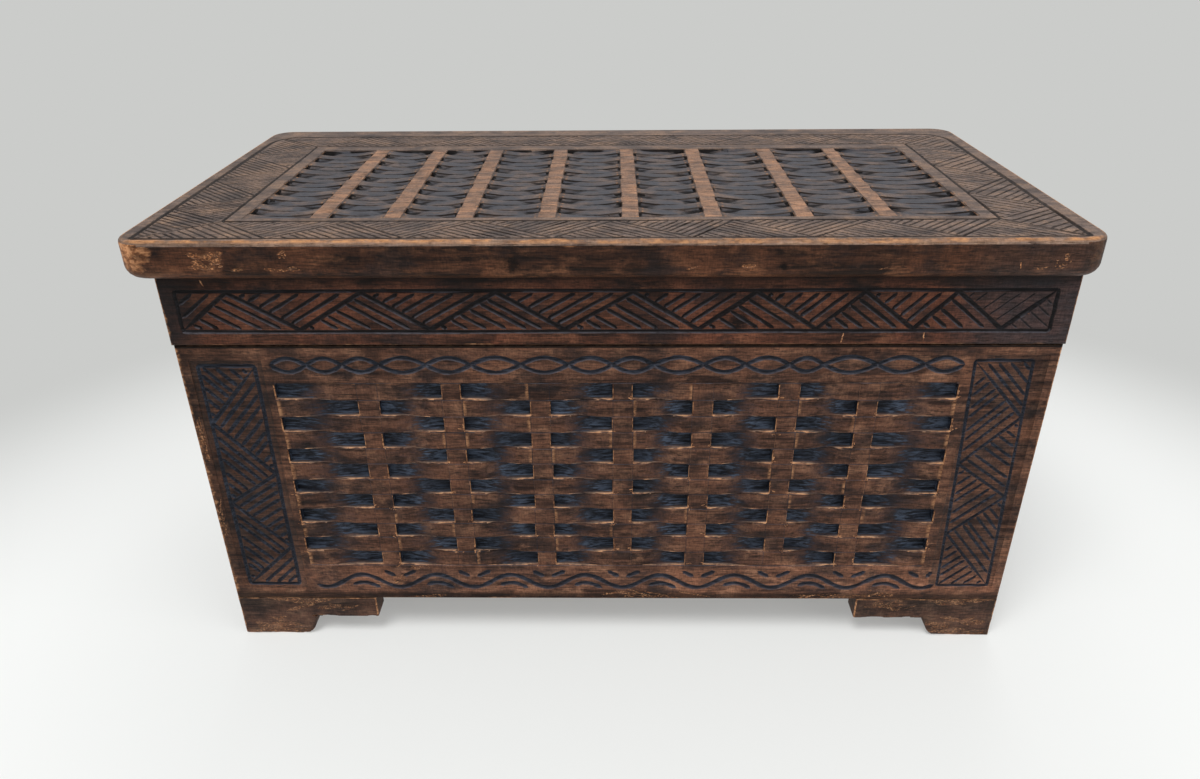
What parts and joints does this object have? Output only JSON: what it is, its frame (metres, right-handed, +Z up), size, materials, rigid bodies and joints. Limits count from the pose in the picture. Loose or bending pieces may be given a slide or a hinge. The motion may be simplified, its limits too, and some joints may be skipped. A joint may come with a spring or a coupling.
{
  "type": "small wooden trunk",
  "caption": "Rectangular carved wooden trunk with an overhanging hinged lid, basket-weave panels and stepped bracket feet.",
  "frame": {"origin": "on the floor, under the middle of the trunk's bounding box", "axes": "+Z up, +X to the right along the front, +Y from the carved front towards the hinged back"},
  "size_m": [0.45, 0.232, 0.2408],
  "materials": {
    "carved_wood": "dark stained hardwood, waxed, blue-black in the carving",
    "rail_wood": "dark red-brown stained hardwood, waxed",
    "lid_wood": "stained hardwood worn to tan at the edges and posts",
    "foot_wood": "dark stained hardwood, rubbed at the corners",
    "inner_wood": "plain hardwood, unwaxed",
    "peg_wood": "hardwood pegs and dowels, end grain",
    "hinge_brass": "old brass, dulled",
    "steel_screw": "plain steel, dulled"
  },
  "bodies": {
    "trunk": {"front_board": "carved_wood", "back_board": "carved_wood", "left_end_board": "carved_wood", "right_end_board": "carved_wood", "bottom_board": "inner_wood", "corner_pegs": "peg_wood", "front_left_bracket": "foot_wood", "front_right_bracket": "foot_wood", "back_left_bracket": "foot_wood", "back_right_bracket": "foot_wood", "left_front_bracket": "foot_wood", "left_back_bracket": "foot_wood", "right_front_bracket": "foot_wood", "right_back_bracket": "foot_wood", "front_left_block": "inner_wood", "front_right_block": "inner_wood", "back_left_block": "inner_wood", "back_right_block": "inner_wood", "foot_dowels": "peg_wood", "foot_screws": "steel_screw", "left_hinge_body_leaf": "hinge_brass", "left_hinge_pin": "hinge_brass", "right_hinge_body_leaf": "hinge_brass", "right_hinge_pin": "hinge_brass", "hinge_body_screws": "hinge_brass"},
    "lid": {"lid_top": "lid_wood", "lid_front_rail": "rail_wood", "lid_back_rail": "rail_wood", "lid_left_rail": "rail_wood", "lid_right_rail": "rail_wood", "lid_pegs": "peg_wood", "lid_dowels": "peg_wood", "left_hinge_lid_leaf": "hinge_brass", "right_hinge_lid_leaf": "hinge_brass", "hinge_lid_screws": "hinge_brass"}
  },
  "joints": [
    {"name": "lid_hinge", "type": "hinge", "parent": "trunk", "child": "lid", "pos_m": [0.003, 0.1025, 0.18515], "axis": [-1, 0, 0], "range_deg": [0, 104]}
  ]
}
